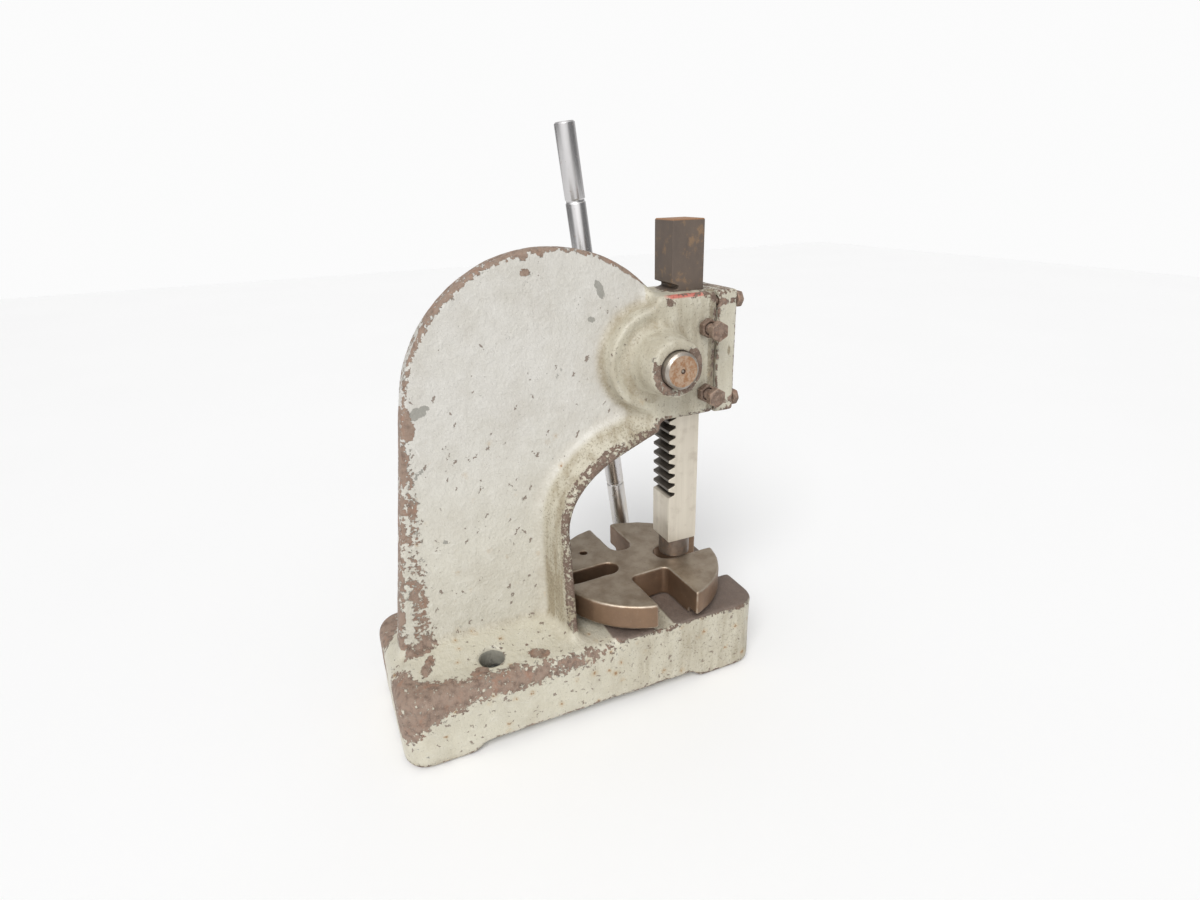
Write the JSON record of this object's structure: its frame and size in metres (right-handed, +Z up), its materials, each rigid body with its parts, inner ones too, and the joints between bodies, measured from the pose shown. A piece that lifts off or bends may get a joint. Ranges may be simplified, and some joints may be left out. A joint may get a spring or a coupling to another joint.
{
  "type": "arbor press",
  "caption": "Bench arbor press: cast C-frame on a forked base, square rack ram, pinion with a through lever, and a turning slotted plate.",
  "frame": {"origin": "on the floor under the middle of the rear foot, in the middle plane of the casting", "axes": "+Z up along the ram, -Y towards the ram and the forked end of the base, +X towards the lever"},
  "size_m": [0.17, 0.2826, 0.4151],
  "materials": {
    "worn_paint": "old grey-cream paint on cast iron, chipped to rust on the edges",
    "cover_paint": "old cream paint on cast iron, worn at the edges",
    "rusty_steel": "steel with a thin brown rust film",
    "dark_steel": "oiled dark steel",
    "ram_steel": "ground steel, browned towards the top",
    "plate_steel": "machined iron with a brown patina and bright edges",
    "lever_chrome": "worn chrome with light scratches",
    "plug_brass": "bare brass"
  },
  "bodies": {
    "press_frame": {"frame_casting": "worn_paint", "front_cover": "cover_paint", "cover_bolt_upper_near": "rusty_steel", "cover_bolt_upper_far": "rusty_steel", "cover_bolt_lower_near": "rusty_steel", "cover_bolt_lower_far": "rusty_steel", "ram_gib": "dark_steel", "gib_screw_lower": "rusty_steel", "gib_screw_upper": "rusty_steel", "gib_locknut_lower": "dark_steel", "gib_locknut_upper": "dark_steel", "pinion_retaining_screw": "rusty_steel", "plate_pivot_pin": "dark_steel"},
    "ram_assembly": {"ram": "ram_steel", "ram_nose": "dark_steel"},
    "pinion_assembly": {"pinion_shaft": "rusty_steel", "lever_hub": "dark_steel", "hub_pin": "dark_steel", "lever_friction_plug": "plug_brass", "lever_lock_screw": "rusty_steel"},
    "lever_bar": {"lever": "lever_chrome"},
    "turning_plate": {"arbor_plate": "plate_steel"}
  },
  "joints": [
    {"name": "ram_slide", "type": "slide", "parent": "press_frame", "child": "ram_assembly", "axis": [0, 0, 1], "range_m": [0, 0.1]},
    {"name": "pinion_turn", "type": "hinge", "parent": "press_frame", "child": "pinion_assembly", "pos_m": [0, -0.20006, 0.254], "axis": [1, 0, 0], "range_deg": [-322, 0]},
    {"name": "lever_slide", "type": "slide", "parent": "pinion_assembly", "child": "lever_bar", "axis": [0, 0.1219, 0.9925], "range_m": [-0.05, 0.16]},
    {"name": "plate_turn", "type": "hinge", "parent": "press_frame", "child": "turning_plate", "pos_m": [0, -0.1927, 0], "axis": [0, 0, 1], "continuous": true}
  ],
  "couplings": [
    {"joint": "ram_slide", "follows": "pinion_turn", "m_per_rad": -0.01778}
  ]
}
